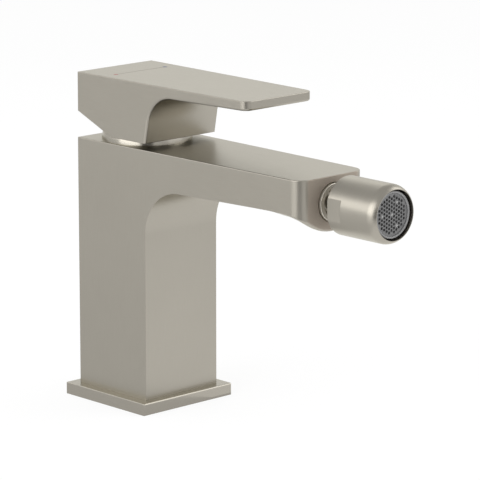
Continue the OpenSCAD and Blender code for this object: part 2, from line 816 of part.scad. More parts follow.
module aerator_grid() {
  rim = 0.5;
  nub_r = 2 * sqrt(3) * grid_pitch;
  nubs = concat([[0, 0]], [for (a = [30:120:270]) nub_r * [cos(a), sin(a)]]);
  color(grey_plastic) on_nozzle(aerator_x1 - grid_t)
    honeycomb_disc(grid_r, rim, grid_t, grid_pitch, grid_wall, nubs);
}

body();
base_plate();
foot_gasket();
foot_oring();
cartridge_base();
port_seals();
cartridge_housing();
cartridge_oring();
fixed_disc();
moving_disc();
disc_carrier();
turning_sleeve();
lever_pin();
lever_stem();
lock_nut();
trim_cover();
cover_oring();
handle();
set_screw();
screw_plug();
hot_index();
cold_index();
seat_oring();
ball_seat();
slip_ring();
ball_stem();
retaining_nut();
nozzle_housing();
aerator_gasket();
strainer();
jet_plate();
aerator_cup();
aerator_grid();
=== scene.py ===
# %% [markdown]
# # A bidet mixer in brushed nickel
# The mixer is a square column with a flat spout, a paddle handle on a domed cover and a nozzle that
# swivels in the spout's nose. Its solids come from CAD and stay where they are. This lesson dresses them:
# it softens the edges that a polishing belt would soften, winds ridges into the threaded holes, fills in
# the aerator's face and gives each material its finish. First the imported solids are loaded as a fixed
# frame.

# %% Load the frame
import json
import math

import bmesh
import bpy
from mathutils import Euler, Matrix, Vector

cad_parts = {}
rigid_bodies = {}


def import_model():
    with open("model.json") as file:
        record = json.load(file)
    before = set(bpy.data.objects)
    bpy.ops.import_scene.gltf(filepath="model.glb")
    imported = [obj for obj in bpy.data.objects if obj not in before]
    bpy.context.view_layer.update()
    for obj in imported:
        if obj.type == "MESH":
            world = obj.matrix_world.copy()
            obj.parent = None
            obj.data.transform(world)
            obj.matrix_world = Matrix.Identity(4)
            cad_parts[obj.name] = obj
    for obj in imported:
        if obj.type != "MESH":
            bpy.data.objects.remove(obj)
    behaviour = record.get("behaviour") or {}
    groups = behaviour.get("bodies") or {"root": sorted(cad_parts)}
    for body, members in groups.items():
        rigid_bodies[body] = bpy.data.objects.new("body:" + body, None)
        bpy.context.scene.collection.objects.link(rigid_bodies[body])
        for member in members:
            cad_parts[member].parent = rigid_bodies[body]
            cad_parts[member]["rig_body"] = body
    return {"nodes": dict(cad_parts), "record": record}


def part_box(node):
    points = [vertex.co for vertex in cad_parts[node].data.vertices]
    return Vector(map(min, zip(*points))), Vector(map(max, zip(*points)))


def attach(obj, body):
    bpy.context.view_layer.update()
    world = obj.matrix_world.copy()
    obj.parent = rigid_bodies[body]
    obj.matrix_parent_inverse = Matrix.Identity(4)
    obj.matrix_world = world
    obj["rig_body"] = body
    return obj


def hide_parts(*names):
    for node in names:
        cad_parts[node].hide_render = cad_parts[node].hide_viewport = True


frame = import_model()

MM = 0.001
QUARTER = math.radians(90)
nodes = frame["nodes"]
slots = {part["node"]: part["material_slot"] for part in frame["record"]["subparts"]}
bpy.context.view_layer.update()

# %% [markdown]
# ## The camera
# The photo was taken with a long lens from the front left, a little above the spout. A long lens far away
# keeps the column's edges nearly parallel. Placing a camera by eye takes many tries, so the place and the
# lens were fitted to the corners of the base, the column, the handle and the nozzle.

# %% Camera
camera_at = Vector((1.083, -0.9628, 0.3994))
camera_turn = math.radians(46.70)
camera_pitch = math.radians(12.711)
camera_lens, sensor_width = 243.96, 36
nearest = 0.05

lens = bpy.data.cameras.new("long_lens")
lens.lens = camera_lens
lens.sensor_width = sensor_width
lens.clip_start = nearest
camera = bpy.data.objects.new("camera", lens)
camera.location = camera_at
camera.rotation_euler = Euler((QUARTER - camera_pitch, 0, camera_turn))
bpy.context.scene.collection.objects.link(camera)
bpy.context.scene.camera = camera
bpy.context.scene.view_settings.view_transform = "Standard"
print(f"camera {camera_at.length:.2f} m from the foot, {camera_lens:.0f} mm lens")

# %% [markdown]
# ## Node trees as sums
# Finishes are made of nodes, and a chain of Math nodes is hard to read. Wrapping a socket in a small
# class lets Python's own operators add those nodes: `1 - mask` becomes a Subtract node. Every other node
# comes from one method, which takes the node's type, its settings and what goes into its sockets. Shading
# and geometry trees share it.

# %% Wires
class Wire:
    """An output socket. Sums and products of wires add Math nodes to their tree."""

    def __init__(self, tree, socket):
        self.tree, self.socket = tree, socket

    @classmethod
    def of(cls, tree, kind, settings=(), inputs=(), output=0):
        """Adds a node: its settings first, then a value, a wire or a list of wires for each socket."""
        node = tree.nodes.new(kind)
        for name, value in dict(settings).items():
            setattr(node, name, value)
        for name, value in dict(inputs).items():
            wires = [value] if isinstance(value, Wire) else value
            if isinstance(wires, list):
                for wire in wires:
                    tree.links.new(wire.socket, node.inputs[name])
            else:
                node.inputs[name].default_value = value
        return cls(tree, node.outputs[output]) if node.outputs else None

    def out(self, name):
        """Another output of the same node."""
        return Wire(self.tree, self.socket.node.outputs[name])

    def maths(self, operation, other):
        """A Math node on this wire and another one, or a number."""
        return Wire.of(self.tree, "ShaderNodeMath", {"operation": operation}, {0: self, 1: other})

    def maths_after(self, operation, other):
        """The same with this wire in second place."""
        return Wire.of(self.tree, "ShaderNodeMath", {"operation": operation}, {0: other, 1: self})

    def __add__(self, other):
        return self.maths("ADD", other)

    def __sub__(self, other):
        return self.maths("SUBTRACT", other)

    def __mul__(self, other):
        return self.maths("MULTIPLY", other)

    def __truediv__(self, other):
        return self.maths("DIVIDE", other)

    def __radd__(self, other):
        return self.maths_after("ADD", other)

    def __rsub__(self, other):
        return self.maths_after("SUBTRACT", other)

    def __rmul__(self, other):
        return self.maths_after("MULTIPLY", other)

    def __rtruediv__(self, other):
        return self.maths_after("DIVIDE", other)


print("wires ready")

# %% [markdown]
# ## Floor, white surroundings and lamps
# The mixer stands in a bright tent: metal has no colour of its own to show without something to reflect,
# and here that is white all round, a little darker overhead. Light Path tells apart the rays that come
# from the camera or from a reflection, which see plain white, and the rays that only carry light. The
# floor mixes its own white with a lit, diffuse part, and that part keeps the soft shadow under the mixer.
# In a reflection the paper is a little less white.

# %% White surroundings
WHITE = (1, 1, 1, 1)
light_strength = 0.85
roof_from, roof_to, roof_white = 0.35, 0.65, 0.7


def seen_ray(tree):
    """1 for rays from the camera, from a reflection or through glass, else 0."""
    path = Wire.of(tree, "ShaderNodeLightPath")
    seen = path.out("Is Camera Ray") + path.out("Is Glossy Ray") + path.out("Is Transmission Ray")
    return seen.maths("MINIMUM", 1.0)


def mixed(tree, factor, first, second):
    """Two shaders: the first where the factor is 0, the second where it is 1."""
    return Wire.of(tree, "ShaderNodeMixShader", {}, {0: factor, 1: first, 2: second})


def rise(tree, value, low, high, first=0.0, last=1.0):
    """From first to last, smoothly, as the value goes from low to high."""
    ends = {"Value": value, "From Min": low, "From Max": high, "To Min": first, "To Max": last}
    return Wire.of(tree, "ShaderNodeMapRange", {"interpolation_type": "SMOOTHSTEP"}, ends)


world = bpy.data.worlds.new("white_tent")
world.use_nodes = True
air = world.node_tree
air.nodes.clear()
upward = Wire.of(air, "ShaderNodeTexCoord", output="Generated")
slope = Wire.of(air, "ShaderNodeSeparateXYZ", {}, {"Vector": upward}, output="Z")
roof = rise(air, slope, roof_from, roof_to, 1.0, roof_white)
soft = Wire.of(air, "ShaderNodeBackground", {}, {"Color": WHITE, "Strength": light_strength})
white = Wire.of(air, "ShaderNodeBackground", {}, {"Color": WHITE, "Strength": roof})
Wire.of(air, "ShaderNodeOutputWorld", {}, {"Surface": mixed(air, seen_ray(air), soft, white)})
bpy.context.scene.world = world
print("white tent up")

# %% Floor
floor_side = 12.0
floor_white, mirrored_white = 0.84, 0.9
PAPER_GREY = (0.95, 0.95, 0.95, 1)


def new_finish(name):
    """An empty material and its tree."""
    material = bpy.data.materials.new(name)
    material.use_nodes = True
    material.node_tree.nodes.clear()
    return material, material.node_tree


def card(name, corners, material):
    """One flat face with four corners."""
    mesh = bpy.data.meshes.new(name)
    mesh.from_pydata(corners, [], [(0, 1, 2, 3)])
    mesh.materials.append(material)
    flat = bpy.data.objects.new(name, mesh)
    bpy.context.scene.collection.objects.link(flat)
    return flat


paper, sheet = new_finish("white_paper")
dull = Wire.of(sheet, "ShaderNodeBsdfDiffuse", {}, {"Color": PAPER_GREY})
straight = Wire.of(sheet, "ShaderNodeLightPath").out("Is Camera Ray")
glare = straight * (1 - mirrored_white) + mirrored_white
bright = Wire.of(sheet, "ShaderNodeEmission", {}, {"Color": WHITE, "Strength": glare})
lit = mixed(sheet, seen_ray(sheet) * floor_white, dull, bright)
Wire.of(sheet, "ShaderNodeOutputMaterial", {}, {"Surface": lit})
half = floor_side / 2
floor = card("floor", [(-half, -half, 0), (half, -half, 0), (half, half, 0), (-half, half, 0)], paper)
print(f"floor {floor_side:.0f} m wide")

# %% [markdown]
# ### Lamps and a dark flag
# Flat metal shows each lamp as one even tone, so the lamps stand where the faces look. A box at the left
# lights the left faces, a brighter one beside it draws the light lines on round edges, and weak ones fill
# the front and the tops. A high one behind reaches under the lever by way of the spout's top. Metal seen
# from above also mirrors the floor, so two glows lie there: in front, to carry the light lines down, and
# at the right, to even out the column's front. A dark card beside the camera makes the dark line in the
# middle of each rounded corner. None of them shows in the picture itself.

# %% Lamps
middle = Vector((0.07, 0, 0))
glow_lift = 1 * MM


def round_about(bearing, distance):
    """A place on the floor round the mixer. The bearing turns from -Y towards +X."""
    return middle + distance * Vector((math.sin(bearing), -math.cos(bearing), 0))


def softbox(name, toward, distance, width, height, radiance, lift):
    """An upright lamp round the mixer. toward is its bearing in degrees."""
    lamp = bpy.data.lights.new(name, "AREA")
    lamp.shape = "RECTANGLE"
    lamp.size, lamp.size_y = width, height
    lamp.energy = radiance * math.pi * width * height
    box = bpy.data.objects.new(name, lamp)
    bearing = math.radians(toward)
    box.location = round_about(bearing, distance)
    box.location.z = lift + height / 2
    box.rotation_euler = Euler((QUARTER, 0, bearing))
    box.visible_camera = False
    bpy.context.scene.collection.objects.link(box)
    return box


def floor_glow(name, toward, distance, width, length, radiance):
    """A lamp that lies on the floor and shines up."""
    glow = softbox(name, toward, distance, width, length, radiance, 0)
    glow.location.z = glow_lift
    glow.rotation_euler.x = math.pi


softbox("left_box", toward=-47, distance=0.9, width=0.6, height=0.42, radiance=1.2, lift=0.2)
softbox("key_box", toward=0, distance=0.9, width=1.0, height=0.8, radiance=2.2, lift=0.1)
softbox("right_box", toward=128, distance=0.9, width=0.8, height=0.4, radiance=0.4, lift=0.12)
softbox("back_box", toward=-123, distance=1.0, width=0.8, height=0.5, radiance=0.65, lift=0.5)
softbox("high_box", toward=155, distance=1.0, width=1.1, height=0.9, radiance=1.9, lift=0.55)
floor_glow("front_glow", toward=6, distance=0.6, width=0.28, length=0.7, radiance=0.45)
floor_glow("right_glow", toward=135, distance=0.23, width=0.5, length=0.5, radiance=0.32)
print("five softboxes and two glows on the floor")

# %% Flag
FELT_GREY = (0.1, 0.1, 0.1, 1)
flag_side, flag_distance = 0.3, 0.5
flag_turn = camera_turn - math.radians(5)

felt, weave = new_finish("dark_felt")
matt = Wire.of(weave, "ShaderNodeBsdfPrincipled", {}, {"Base Color": FELT_GREY})
Wire.of(weave, "ShaderNodeOutputMaterial", {}, {"Surface": matt})
half = flag_side / 2
flag = card("flag", [(-half, 0, 0), (half, 0, 0), (half, 0, flag_side), (-half, 0, flag_side)], felt)
flag.location = round_about(flag_turn, flag_distance)
flag.rotation_euler = Euler((0, 0, flag_turn))
for ray in ("camera", "diffuse", "transmission", "shadow", "volume_scatter"):
    setattr(flag, "visible_" + ray, False)
print("flag up")

# %% [markdown]
# ## Finishes
# Each finish is a Principled surface whose colour, roughness and fine relief come from noise on Object
# coordinates, in metres. Pictures of metal could be wrapped round it instead, but noise has no seams and
# stays sharp at any size. Brushing is noise that is stretched along the stroke: long one way, hair-fine
# the other. Three more helpers make that noise, turn it into a colour and close the finish.

# %% Finish helpers
MIX_LOW, MIX_HIGH, MIX_RESULT = 6, 7, 2


def grain(tree, scale, detail=2.0):
    """Noise from 0 to 1 on Object coordinates, with its own scale along X, Y and Z."""
    place = Wire.of(tree, "ShaderNodeTexCoord", output="Object")
    stretched = Wire.of(tree, "ShaderNodeMapping", {}, {"Vector": place, "Scale": scale})
    return Wire.of(tree, "ShaderNodeTexNoise", {}, {"Vector": stretched, "Scale": 1.0, "Detail": detail})


def tint(tree, mask, low, high):
    """Colour from low to high as the mask goes from 0 to 1. Each is a colour or a wire."""
    low, high = (end if isinstance(end, Wire) else (*end, 1) for end in (low, high))
    sockets = {"Factor": mask, MIX_LOW: low, MIX_HIGH: high}
    return Wire.of(tree, "ShaderNodeMix", {"data_type": "RGBA"}, sockets, MIX_RESULT)


def close_finish(tree, colour, roughness, height, relief, constants):
    """Bump, Principled surface and output."""
    bump = Wire.of(tree, "ShaderNodeBump", {}, {"Height": height, "Strength": 1.0, "Distance": relief})
    sockets = {"Base Color": colour, "Roughness": roughness, "Normal": bump, **constants}
    surface = Wire.of(tree, "ShaderNodeBsdfPrincipled", {}, sockets)
    Wire.of(tree, "ShaderNodeOutputMaterial", {}, {"Surface": surface})


print("finish helpers ready")

# %% [markdown]
# ### Brushed nickel
# Nickel plating on brass is a warm grey. The casting is drawn along an abrasive belt, so fine strokes run
# up the column and along the spout and handle, while the nozzle is brushed on a lathe and its strokes run
# round it. The strokes change the roughness and the height, and the colour a little. The belt can't get
# at the small face behind the nozzle, so that one stays matt; its paler, warmer colour is a painted
# reflection of the nozzle's back. The ball and the nut round it are plated but never brushed, and their
# much lighter colour is painted light that lifts them out of the shade between the nose and the nozzle.
# The base plate is pressed from smooth sheet and shines a little more, so the column's foot shows in its
# ledge.

# %% Nickel helpers
NICKEL_DARK = (0.315, 0.295, 0.255)
NICKEL_PALE = (0.375, 0.353, 0.308)
EDGE_TINT = (1.0, 0.99, 0.94, 1)
STROKES = {
    "along": (120, 5200, 5200),
    "upright": (5200, 5200, 120),
    "around": (5200, 150, 150),
    "round": (150, 150, 5200),
}
BRUSHED, RELIEF = 0.34, 0.012 * MM
STROKE_SPREAD = 0.16
STROKE_SHARE, CLOUD_SHARE = 0.6, 0.4
CLOUDS = (28, 28, 28)


def nickel_colour(tree, strokes, low=NICKEL_DARK, high=NICKEL_PALE):
    """Warm grey that follows the strokes and a faint cloudiness."""
    return tint(tree, strokes * STROKE_SHARE + grain(tree, CLOUDS) * CLOUD_SHARE, low, high)


def close_nickel(tree, colour, strokes, roughness, relief):
    """Nickel whose strokes, a wire from 0 to 1, spread the roughness to both sides."""
    metal = {"Metallic": 1.0, "Specular Tint": EDGE_TINT}
    spread = strokes * STROKE_SPREAD + (roughness - STROKE_SPREAD / 2)
    close_finish(tree, colour, spread, strokes, relief, metal)


def nickel(name, strokes, roughness=BRUSHED, relief=RELIEF, low=NICKEL_DARK, high=NICKEL_PALE):
    """Nickel with strokes in one direction."""
    material, tree = new_finish(name)
    lines = grain(tree, STROKES[strokes])
    close_nickel(tree, nickel_colour(tree, lines, low, high), lines, roughness, relief)
    return material


print("nickel helpers ready")

# %% Nickel casting
# Painted reflection: a paler, warmer tone for the nose's front, in place of the nozzle's back mirrored in
# it.
NOSE_PAINTED_REFLECTION = (0.45, 0.4, 0.345)
column_front, spout_front = 22.5 * MM, 119.4 * MM
stroke_turn, matt_fade = 20 * MM, 0.4 * MM
matt_more = 0.42


def across(tree):
    """The place along the spout, in metres."""
    place = Wire.of(tree, "ShaderNodeTexCoord", output="Object")
    return Wire.of(tree, "ShaderNodeSeparateXYZ", {}, {"Vector": place}, output="X")


def cast_nickel(name):
    """Nickel on the casting. The strokes turn from upright to along the spout; the nose ends matt, with a
    painted reflection.
    """
    material, tree = new_finish(name)
    spout = rise(tree, across(tree), column_front, column_front + stroke_turn)
    strokes = grain(tree, STROKES["along"]) * spout + grain(tree, STROKES["upright"]) * (1 - spout)
    matt_and_painted_front = rise(tree, across(tree), spout_front - matt_fade, spout_front)
    # The nose's front fades into the painted reflection colour.
    colour = tint(tree, matt_and_painted_front, nickel_colour(tree, strokes), NOSE_PAINTED_REFLECTION)
    close_nickel(tree, colour, strokes, matt_and_painted_front * matt_more + BRUSHED, RELIEF)
    return material


cast = cast_nickel("nickel_casting")
print(f"strokes turn over {stroke_turn / MM:.0f} mm in front of the column")

# %% Other nickel finishes
# Painted light: the ball and the nut take a much lighter nickel, which lifts them out of the shade they
# sit in.
LIGHTENED_NICKEL_DARK = (0.56, 0.53, 0.47)
LIGHTENED_NICKEL_PALE = (0.63, 0.6, 0.535)
drawn = nickel("nickel_drawn", "along", relief=0.02 * MM)
turned = nickel("nickel_turned", "around")
painted_light_nickel = nickel("nickel_painted_light", "around", 0.5, low=LIGHTENED_NICKEL_DARK, high=LIGHTENED_NICKEL_PALE)
polished = nickel("nickel_polished", "round", 0.2)
pressed = nickel("nickel_pressed", "along", 0.23)
print("six nickel finishes with the casting's")

# %% [markdown]
# ### The hidden metals, plastics, rubber and ceramic
# Inside are bare brass and steel with lathe marks, moulded plastics with a faint mottle, matt rubber and
# lapped ceramic discs. They are seldom seen, but the part can be taken apart, so each has its own grain.
# The aerator's grid is a darker grey than the cup round it. All of them differ only in numbers, so one
# function makes them from a table.

# %% Other finishes
FINE, TURNING = (900, 900, 900), (90, 90, 3000)
MOTTLE_DETAIL = 3.0


def grey(value):
    """A colour without a hue."""
    return (value, value, value)


def plain_finish(name, low, high, roughness, scale, relief, metallic=0.0, gloss=0.5):
    """A finish with one grain for colour, roughness and relief."""
    material, tree = new_finish(name)
    mottle = grain(tree, scale, MOTTLE_DETAIL)
    spread = mottle * (roughness[1] - roughness[0]) + roughness[0]
    constants = {"Metallic": metallic, "Specular IOR Level": gloss}
    close_finish(tree, tint(tree, mottle, low, high), spread, mottle, relief, constants)
    return material


# Dark tone, pale tone, lowest and highest roughness, grain, relief, metallic, gloss.
plain = {
    "bare_brass": ((0.55, 0.38, 0.15), (0.68, 0.5, 0.23), (0.25, 0.4), TURNING, 0.004 * MM, 1.0),
    "steel": (grey(0.48), (0.58, 0.58, 0.57), (0.25, 0.38), TURNING, 0.003 * MM, 1.0),
    "grey_plastic": (grey(0.22), grey(0.26), (0.3, 0.42), FINE, 0.01 * MM),
    "dark_plastic": (grey(0.135), grey(0.165), (0.35, 0.5), FINE, 0.01 * MM),
    "pale_plastic": (grey(0.3), (0.36, 0.36, 0.35), (0.25, 0.35), FINE, 0.004 * MM),
    "ivory_plastic": ((0.68, 0.65, 0.55), (0.74, 0.71, 0.61), (0.35, 0.5), FINE, 0.01 * MM),
    "white_ceramic": ((0.8, 0.8, 0.77), (0.86, 0.86, 0.84), (0.12, 0.2), FINE, 0.001 * MM),
    "black_rubber": (grey(0.018), (0.035, 0.035, 0.034), (0.6, 0.8), FINE, 0.02 * MM),
    "red_enamel": ((0.26, 0.05, 0.04), (0.32, 0.07, 0.05), (0.3, 0.4), FINE, 0.004 * MM, 0.0, 0.15),
    "blue_enamel": ((0.02, 0.035, 0.11), (0.03, 0.05, 0.15), (0.3, 0.4), FINE, 0.004 * MM, 0.0, 0.15),
}
finishes = {name: plain_finish(name, *row) for name, row in plain.items()}
finishes["brushed_nickel"] = drawn
print(len(finishes), "finishes by name")

# %% Finishes on the solids
special = {
    # The nut and the ball get the painted-light nickel.
    "retaining_nut": painted_light_nickel,
    "ball_stem": painted_light_nickel,
    "trim_cover": polished,
    "aerator_grid": finishes["dark_plastic"],
}
for name, solid in nodes.items():
    solid.material_slots[0].material = special.get(name, finishes[slots[name]])
print("finishes on", len(nodes), "solids,", len(special), "of them with their own")

# %% [markdown]
# ## Softened edges
# No polished casting has a knife edge, and the thin light line along an edge is what makes metal look
# real. The CAD solids have true corners, so each of the four large outer ones is copied, its triangles
# are welded and its flat faces joined, and a Bevel rounds only the chosen edges. A weight on each edge
# gives it its own radius. The bevelled copy then takes the solid's place.

# %% Edge helpers
WELD = 0.002 * MM
FLAT = math.radians(0.3)
SHARP = math.radians(28)
BEVEL_STEPS = 3


def welded(name):
    """A CAD solid's mesh with its triangles welded and its flat faces joined."""
    source = nodes[name].data
    mesh = bpy.data.meshes.new(name)
    mesh.from_pydata([v.co for v in source.vertices], [], [f.vertices for f in source.polygons])
    work = bmesh.new()
    work.from_mesh(mesh)
    bpy.data.meshes.remove(mesh)
    bmesh.ops.remove_doubles(work, verts=work.verts, dist=WELD)
    bmesh.ops.dissolve_limit(work, angle_limit=FLAT, verts=work.verts, edges=work.edges)
    return work


def made_plain(piece):
    """Turns a piece's modifiers into its own mesh."""
    view = bpy.context.evaluated_depsgraph_get()
    mesh = bpy.data.meshes.new_from_object(piece.evaluated_get(view))
    piece.modifiers.clear()
    piece.data = mesh


def rounded(piece, widest):
    """Rounds a piece's weighted edges. widest is the radius in mm at a weight of 1."""
    bevel = piece.modifiers.new("edges", "BEVEL")
    bevel.limit_method = "WEIGHT"
    bevel.width = widest * MM
    bevel.segments = BEVEL_STEPS
    bevel.use_clamp_overlap = False
    even = piece.modifiers.new("normals", "WEIGHTED_NORMAL")
    even.keep_sharp = True
    made_plain(piece)


print("edge helpers ready")

# %% Softening
def softened(name, radius_at, finish, sharp=SHARP):
    """A copy of a CAD solid with rounded edges, in its place.

    radius_at gives an edge's radius in mm, or 0, from the edge's two ends in mm.
    """
    work = welded(name)
    weight = work.edges.layers.float.new("bevel_weight_edge")
    cornered = [edge for edge in work.edges if edge.calc_face_angle(0) > sharp]
    radius = {edge: radius_at(*(vert.co / MM for vert in edge.verts)) for edge in cornered}
    widest = max(radius.values())
    for edge, r in radius.items():
        edge[weight] = r / widest
    mesh = bpy.data.meshes.new(name + "_soft")
    work.to_mesh(mesh)
    work.free()
    mesh.shade_smooth()
    mesh.set_sharp_from_angle(angle=sharp)
    piece = bpy.data.objects.new(name + "_soft", mesh)
    bpy.context.scene.collection.objects.link(piece)
    rounded(piece, widest)
    piece.data.materials.clear()
    piece.data.materials.append(finish)
    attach(piece, nodes[name]["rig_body"])
    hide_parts(name)
    print(f"{piece.name}: {sum(r > 0 for r in radius.values())} edges, {len(piece.data.polygons)} faces")


print("softening ready")

# %% [markdown]
# ### Body and base plate
# On the body only the outer edges are rounded: those that lie on its outline seen from above. The top
# keeps a crisp edge, and the upright and lower edges, which the belt reaches more easily, get twice as
# much. The swelling under the nose runs smoothly into its sides, so there the edge is only just broken.
# On the base plate all outer edges are rounded but those on the floor. Edges could be picked by their
# numbers, but these change with the mesh, so a rule on where an edge's two ends lie picks them.

# %% Body
taper = math.tan(math.radians(1.08))
column_half, spout_end, belly_len = 22.5, spout_front / MM, 28
corner_r, foot_z, top_z = 6.2, 5.5, 120.5
belly_top = top_z - 1
body_top_r, body_belly_r, body_side_r = 0.4, 0.15, 0.8
on_line, on_level, corner_share = 0.02, 0.01, 0.3


def on_outline(p, half, back, end, corner):
    """Whether a point in mm lies on an outline with tapered sides and two rounded front corners."""
    on_side = abs(p.y) > half - taper * (p.x - back) - on_line
    on_end = p.x < back + on_line or p.x > end - on_line
    on_corner = p.x > end - corner and abs(p.y) > corner_share * half
    return on_side or on_end or on_corner


def body_radius(a, b):
    outer = all(on_outline(p, column_half, -column_half, spout_end, corner_r) for p in (a, b))
    lowest, highest = sorted((a.z, b.z))
    if not outer or highest < foot_z + on_level:
        return 0
    if lowest > top_z - on_level:
        return body_top_r
    on_belly = max(a.x, b.x) > spout_end - belly_len and lowest < belly_top
    return body_belly_r if on_belly else body_side_r


softened("body", body_radius, cast)

# %% Base plate
base_half, base_r, above_floor = 27.0, 0.6, 0.1


def base_radius(a, b):
    outer = all(max(abs(p.x), abs(p.y)) > base_half - on_level for p in (a, b))
    return base_r if outer and max(a.z, b.z) > above_floor else 0


softened("base_plate", base_radius, pressed)

# %% [markdown]
# ### Handle and nozzle
# The handle's top, back and foot are crisp too, but its arch and the lever's underside, where a hand
# takes hold, are well rounded. These share one radius, so that the bevel closes cleanly where the arch
# runs into the underside. On the nozzle, which is turned, only the edges of the outside are broken.

# %% Handle
handle_low, handle_high = (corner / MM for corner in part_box("handle"))
lever_corner, block_mid = 4.0, 1.0
handle_crisp_r, handle_held_r = 0.3, 1.0


def handle_radius(a, b):
    half, back, end = handle_high.y, handle_low.x, handle_high.x
    if not all(on_outline(p, half, back, end, lever_corner) for p in (a, b)):
        return 0
    top_edge = min(a.z, b.z) > handle_high.z - on_level
    foot_edge = max(a.z, b.z) < handle_low.z + on_level
    back_edge = min(a.x, b.x) < block_mid
    return handle_crisp_r if top_edge or foot_edge or back_edge else handle_held_r


softened("handle", handle_radius, drawn)

# %% Nozzle
nozzle_axis, nozzle_outside, nozzle_r = 108.9, 11.5, 0.25
nozzle_sharp = math.radians(12)


def nozzle_radius(a, b):
    reach = min(math.hypot(p.y, p.z - nozzle_axis) for p in (a, b))
    return nozzle_r if reach > nozzle_outside else 0


softened("nozzle_housing", nozzle_radius, turned, nozzle_sharp)

# %% [markdown]
# ## What repeats: the aerator's face and the threads
# The aerator's face has a small rim round each honeycomb hole, four moulded nubs and a bead round its
# edge. The inlets and the stud's hole are threaded. Modelling each by hand would be slow, so Geometry
# Nodes place one shape many times, or sweep it along a path. Each tree has its sizes as named inputs.

# %% Geometry tree helpers
def new_tree(name, sizes):
    """A geometry tree with a number input for each size. Returns the tree and its input wires by name."""
    tree = bpy.data.node_groups.new(name, "GeometryNodeTree")
    tree.interface.new_socket("Geometry", in_out="OUTPUT", socket_type="NodeSocketGeometry")
    for size in sizes:
        tree.interface.new_socket(size, in_out="INPUT", socket_type="NodeSocketFloat")
    tree.interface.new_socket("Finish", in_out="INPUT", socket_type="NodeSocketMaterial")
    first = Wire.of(tree, "NodeGroupInput")
    return tree, {size: first.out(size) for size in (*sizes, "Finish")}


def close_tree(tree, geometry, given, turn, place):
    """Realizes the instances, turns and moves them to their place, in mm, and sets the material."""
    real = Wire.of(tree, "GeometryNodeRealizeInstances", {}, {"Geometry": geometry})
    moved = {"Geometry": real, "Rotation": Euler(turn), "Translation": Vector(place) * MM}
    there = Wire.of(tree, "GeometryNodeTransform", {}, moved)
    finished = {"Geometry": there, "Material": given["Finish"]}
    dressed = Wire.of(tree, "GeometryNodeSetMaterial", {}, finished)
    Wire.of(tree, "NodeGroupOutput", {}, {"Geometry": dressed})


def circle(tree, steps, radius):
    """A circle, or with few steps a polygon."""
    return Wire.of(tree, "GeometryNodeCurvePrimitiveCircle", {}, {"Resolution": steps, "Radius": radius})


def swept(tree, path, sides, thickness, caps=False):
    """A round wire of so many sides along a curve. thickness is its radius."""
    sockets = {"Curve": path, "Profile Curve": circle(tree, sides, thickness), "Fill Caps": caps}
    return Wire.of(tree, "GeometryNodeCurveToMesh", {}, sockets)


def grown(name, tree, values, finish, body):
    """A plain mesh made by a geometry tree, riding on a body."""
    piece = bpy.data.objects.new(name, bpy.data.meshes.new(name))
    bpy.context.scene.collection.objects.link(piece)
    modifier = piece.modifiers.new(name, "NODES")
    modifier.node_group = tree
    sockets = {s.name: s.identifier for s in tree.interface.items_tree if s.in_out == "INPUT"}
    for size, value in values.items():
        modifier[sockets[size]] = value
    modifier[sockets["Finish"]] = finish
    made_plain(piece)
    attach(piece, body)
    print(f"{name}: {len(piece.data.polygons)} faces")
    return piece


grid_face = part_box("aerator_grid")[1].x / MM
FORWARD = (0, QUARTER, 0)
print(f"geometry helpers ready, aerator's face at {grid_face:.1f} mm")

# %% [markdown]
# ### Honeycomb rims
# A moulded grid has a slightly raised lip round each hole, and it catches the light. The holes lie in
# rows, and every second row is shifted by half a pitch, so a plain grid of points with that shift gives
# their places. Points outside the round face and at the closed places are deleted, and a small hexagon of
# wire goes on each of the others.

# %% Honeycomb rims
grid_pitch, grid_wall, grid_r, grid_edge = 1.7, 0.4, 9.45, 0.5
lip_out, lip_r = 0.1, 0.08
grid_rows, hexagon, lip_sides = 15, 6, 5
nub_turns = (30, 150, 270)


def staggered_points(tree, pitch):
    """A flat grid of points in which every second row is shifted by half a pitch."""
    spread = (grid_rows - 1) * pitch
    cells = {"Size X": spread, "Size Y": spread * (math.sqrt(3) / 2)}
    counts = {"Vertices X": grid_rows, "Vertices Y": grid_rows}
    grid = Wire.of(tree, "GeometryNodeMeshGrid", {}, {**cells, **counts})
    points = Wire.of(tree, "GeometryNodeMeshToPoints", {}, {"Mesh": grid})
    row = Wire.of(tree, "GeometryNodeInputIndex").maths("MODULO", grid_rows)
    odd = (row + (grid_rows // 2) % 2).maths("MODULO", 2.0)
    shift = Wire.of(tree, "ShaderNodeCombineXYZ", {}, {"X": odd * pitch / 2})
    return Wire.of(tree, "GeometryNodeSetPosition", {}, {"Geometry": points, "Offset": shift})


def without(tree, points, chosen):
    """The points that aren't chosen."""
    return Wire.of(tree, "GeometryNodeDeleteGeometry", {}, {"Geometry": points, "Selection": chosen})


def vector_maths(tree, operation, inputs, output):
    """A Vector Math node."""
    return Wire.of(tree, "ShaderNodeVectorMath", {"operation": operation}, inputs, output)


